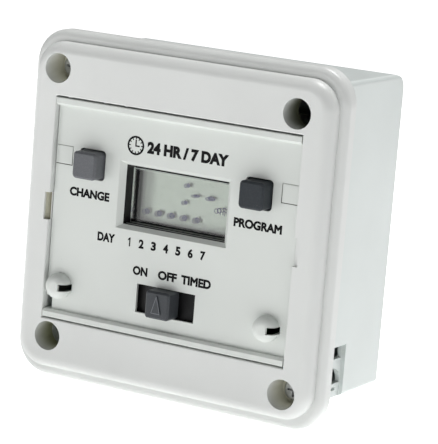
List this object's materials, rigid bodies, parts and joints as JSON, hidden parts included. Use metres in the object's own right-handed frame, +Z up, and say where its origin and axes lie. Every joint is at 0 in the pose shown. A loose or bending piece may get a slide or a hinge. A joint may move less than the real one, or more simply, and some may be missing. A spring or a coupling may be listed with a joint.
{
  "type": "rail-mounted digital timer",
  "caption": "Square digital timer switch: a rail-mounted module with display, two keys and a mode slider, in a surface enclosure with corner fixing wells.",
  "frame": {"origin": "centre of the rear face, which lies on the wall", "axes": "+X to the right seen from the front, +Y towards the wall behind, +Z up"},
  "size_m": [0.09, 0.0507, 0.09],
  "materials": {
    "cover_plastic": "satin moulded, pale grey-white",
    "housing_plastic": "satin moulded, pale grey-white",
    "fascia_plastic": "fine satin, pale grey-green",
    "module_plastic": "satin moulded, pale grey",
    "clip_plastic": "satin moulded, mid grey",
    "clear_lens": "clear, polished",
    "display_glass": "clear, grey-green",
    "reflector_film": "matt grey-green film",
    "black_plastic": "satin black",
    "key_plastic_light": "satin dark grey",
    "key_plastic_dark": "satin charcoal",
    "knob_plastic": "satin charcoal",
    "elastomer": "dull",
    "circuit_board": "solder-mask green",
    "relay_plastic": "moulded blue",
    "capacitor_case": "moulded ochre",
    "varistor_coating": "dipped blue",
    "resistor_coating": "dull grey-blue",
    "bright_can": "bright nickel",
    "rail_steel": "zinc plated and passivated, rolled",
    "zinc_steel": "zinc plated",
    "spring_steel": "drawn wire",
    "terminal_brass": "machined"
  },
  "bodies": {
    "enclosure": {"front_cover": "cover_plastic", "rear_housing": "housing_plastic", "cover_screws": "zinc_steel", "rail_clip_spring": "spring_steel", "timer_fascia": "fascia_plastic", "module_base": "module_plastic", "mounting_rail": "rail_steel", "rail_screws": "zinc_steel", "window_lens": "clear_lens", "lcd_glass": "display_glass", "lcd_reflector": "reflector_film", "lcd_holder": "black_plastic", "contact_strips": "elastomer", "display_board": "circuit_board", "timer_chip": "black_plastic", "crystal": "bright_can", "left_tact_switch": "black_plastic", "right_tact_switch": "black_plastic", "left_tact_stem": "black_plastic", "right_tact_stem": "black_plastic", "left_key_spring": "spring_steel", "right_key_spring": "spring_steel", "slide_switch_body": "bright_can", "power_board": "circuit_board", "board_screws": "zinc_steel", "board_header": "black_plastic", "relay": "relay_plastic", "backup_cell": "bright_can", "dropper_capacitor": "capacitor_case", "smoothing_capacitor": "black_plastic", "varistor": "varistor_coating", "fuse_resistor": "resistor_coating", "terminal_block": "module_plastic", "terminal_clamps": "terminal_brass", "terminal_screws": "zinc_steel", "earth_terminal": "terminal_brass", "earth_screw": "zinc_steel"},
    "left_key": {"left_key": "key_plastic_light"},
    "right_key": {"right_key": "key_plastic_dark"},
    "mode_slider": {"mode_knob": "knob_plastic", "slider_shutter": "black_plastic", "slide_switch_actuator": "black_plastic"},
    "rail_clip": {"rail_clip": "clip_plastic"}
  },
  "joints": [
    {"name": "left_key_press", "type": "slide", "parent": "enclosure", "child": "left_key", "axis": [0, 1, 0], "range_m": [0, 0.0008], "stiffness_N_per_m": 400, "springref_m": -0.0008, "deforming": ["left_key_spring"]},
    {"name": "right_key_press", "type": "slide", "parent": "enclosure", "child": "right_key", "axis": [0, 1, 0], "range_m": [0, 0.0008], "stiffness_N_per_m": 400, "springref_m": -0.0008, "deforming": ["right_key_spring"]},
    {"name": "mode_slide", "type": "slide", "parent": "enclosure", "child": "mode_slider", "axis": [1, 0, 0], "range_m": [-0.0048, 0.0048]},
    {"name": "rail_clip_release", "type": "slide", "parent": "enclosure", "child": "rail_clip", "axis": [0, 0, -1], "range_m": [0, 0.003], "stiffness_N_per_m": 800, "springref_m": -0.002, "deforming": ["rail_clip_spring"]}
  ]
}
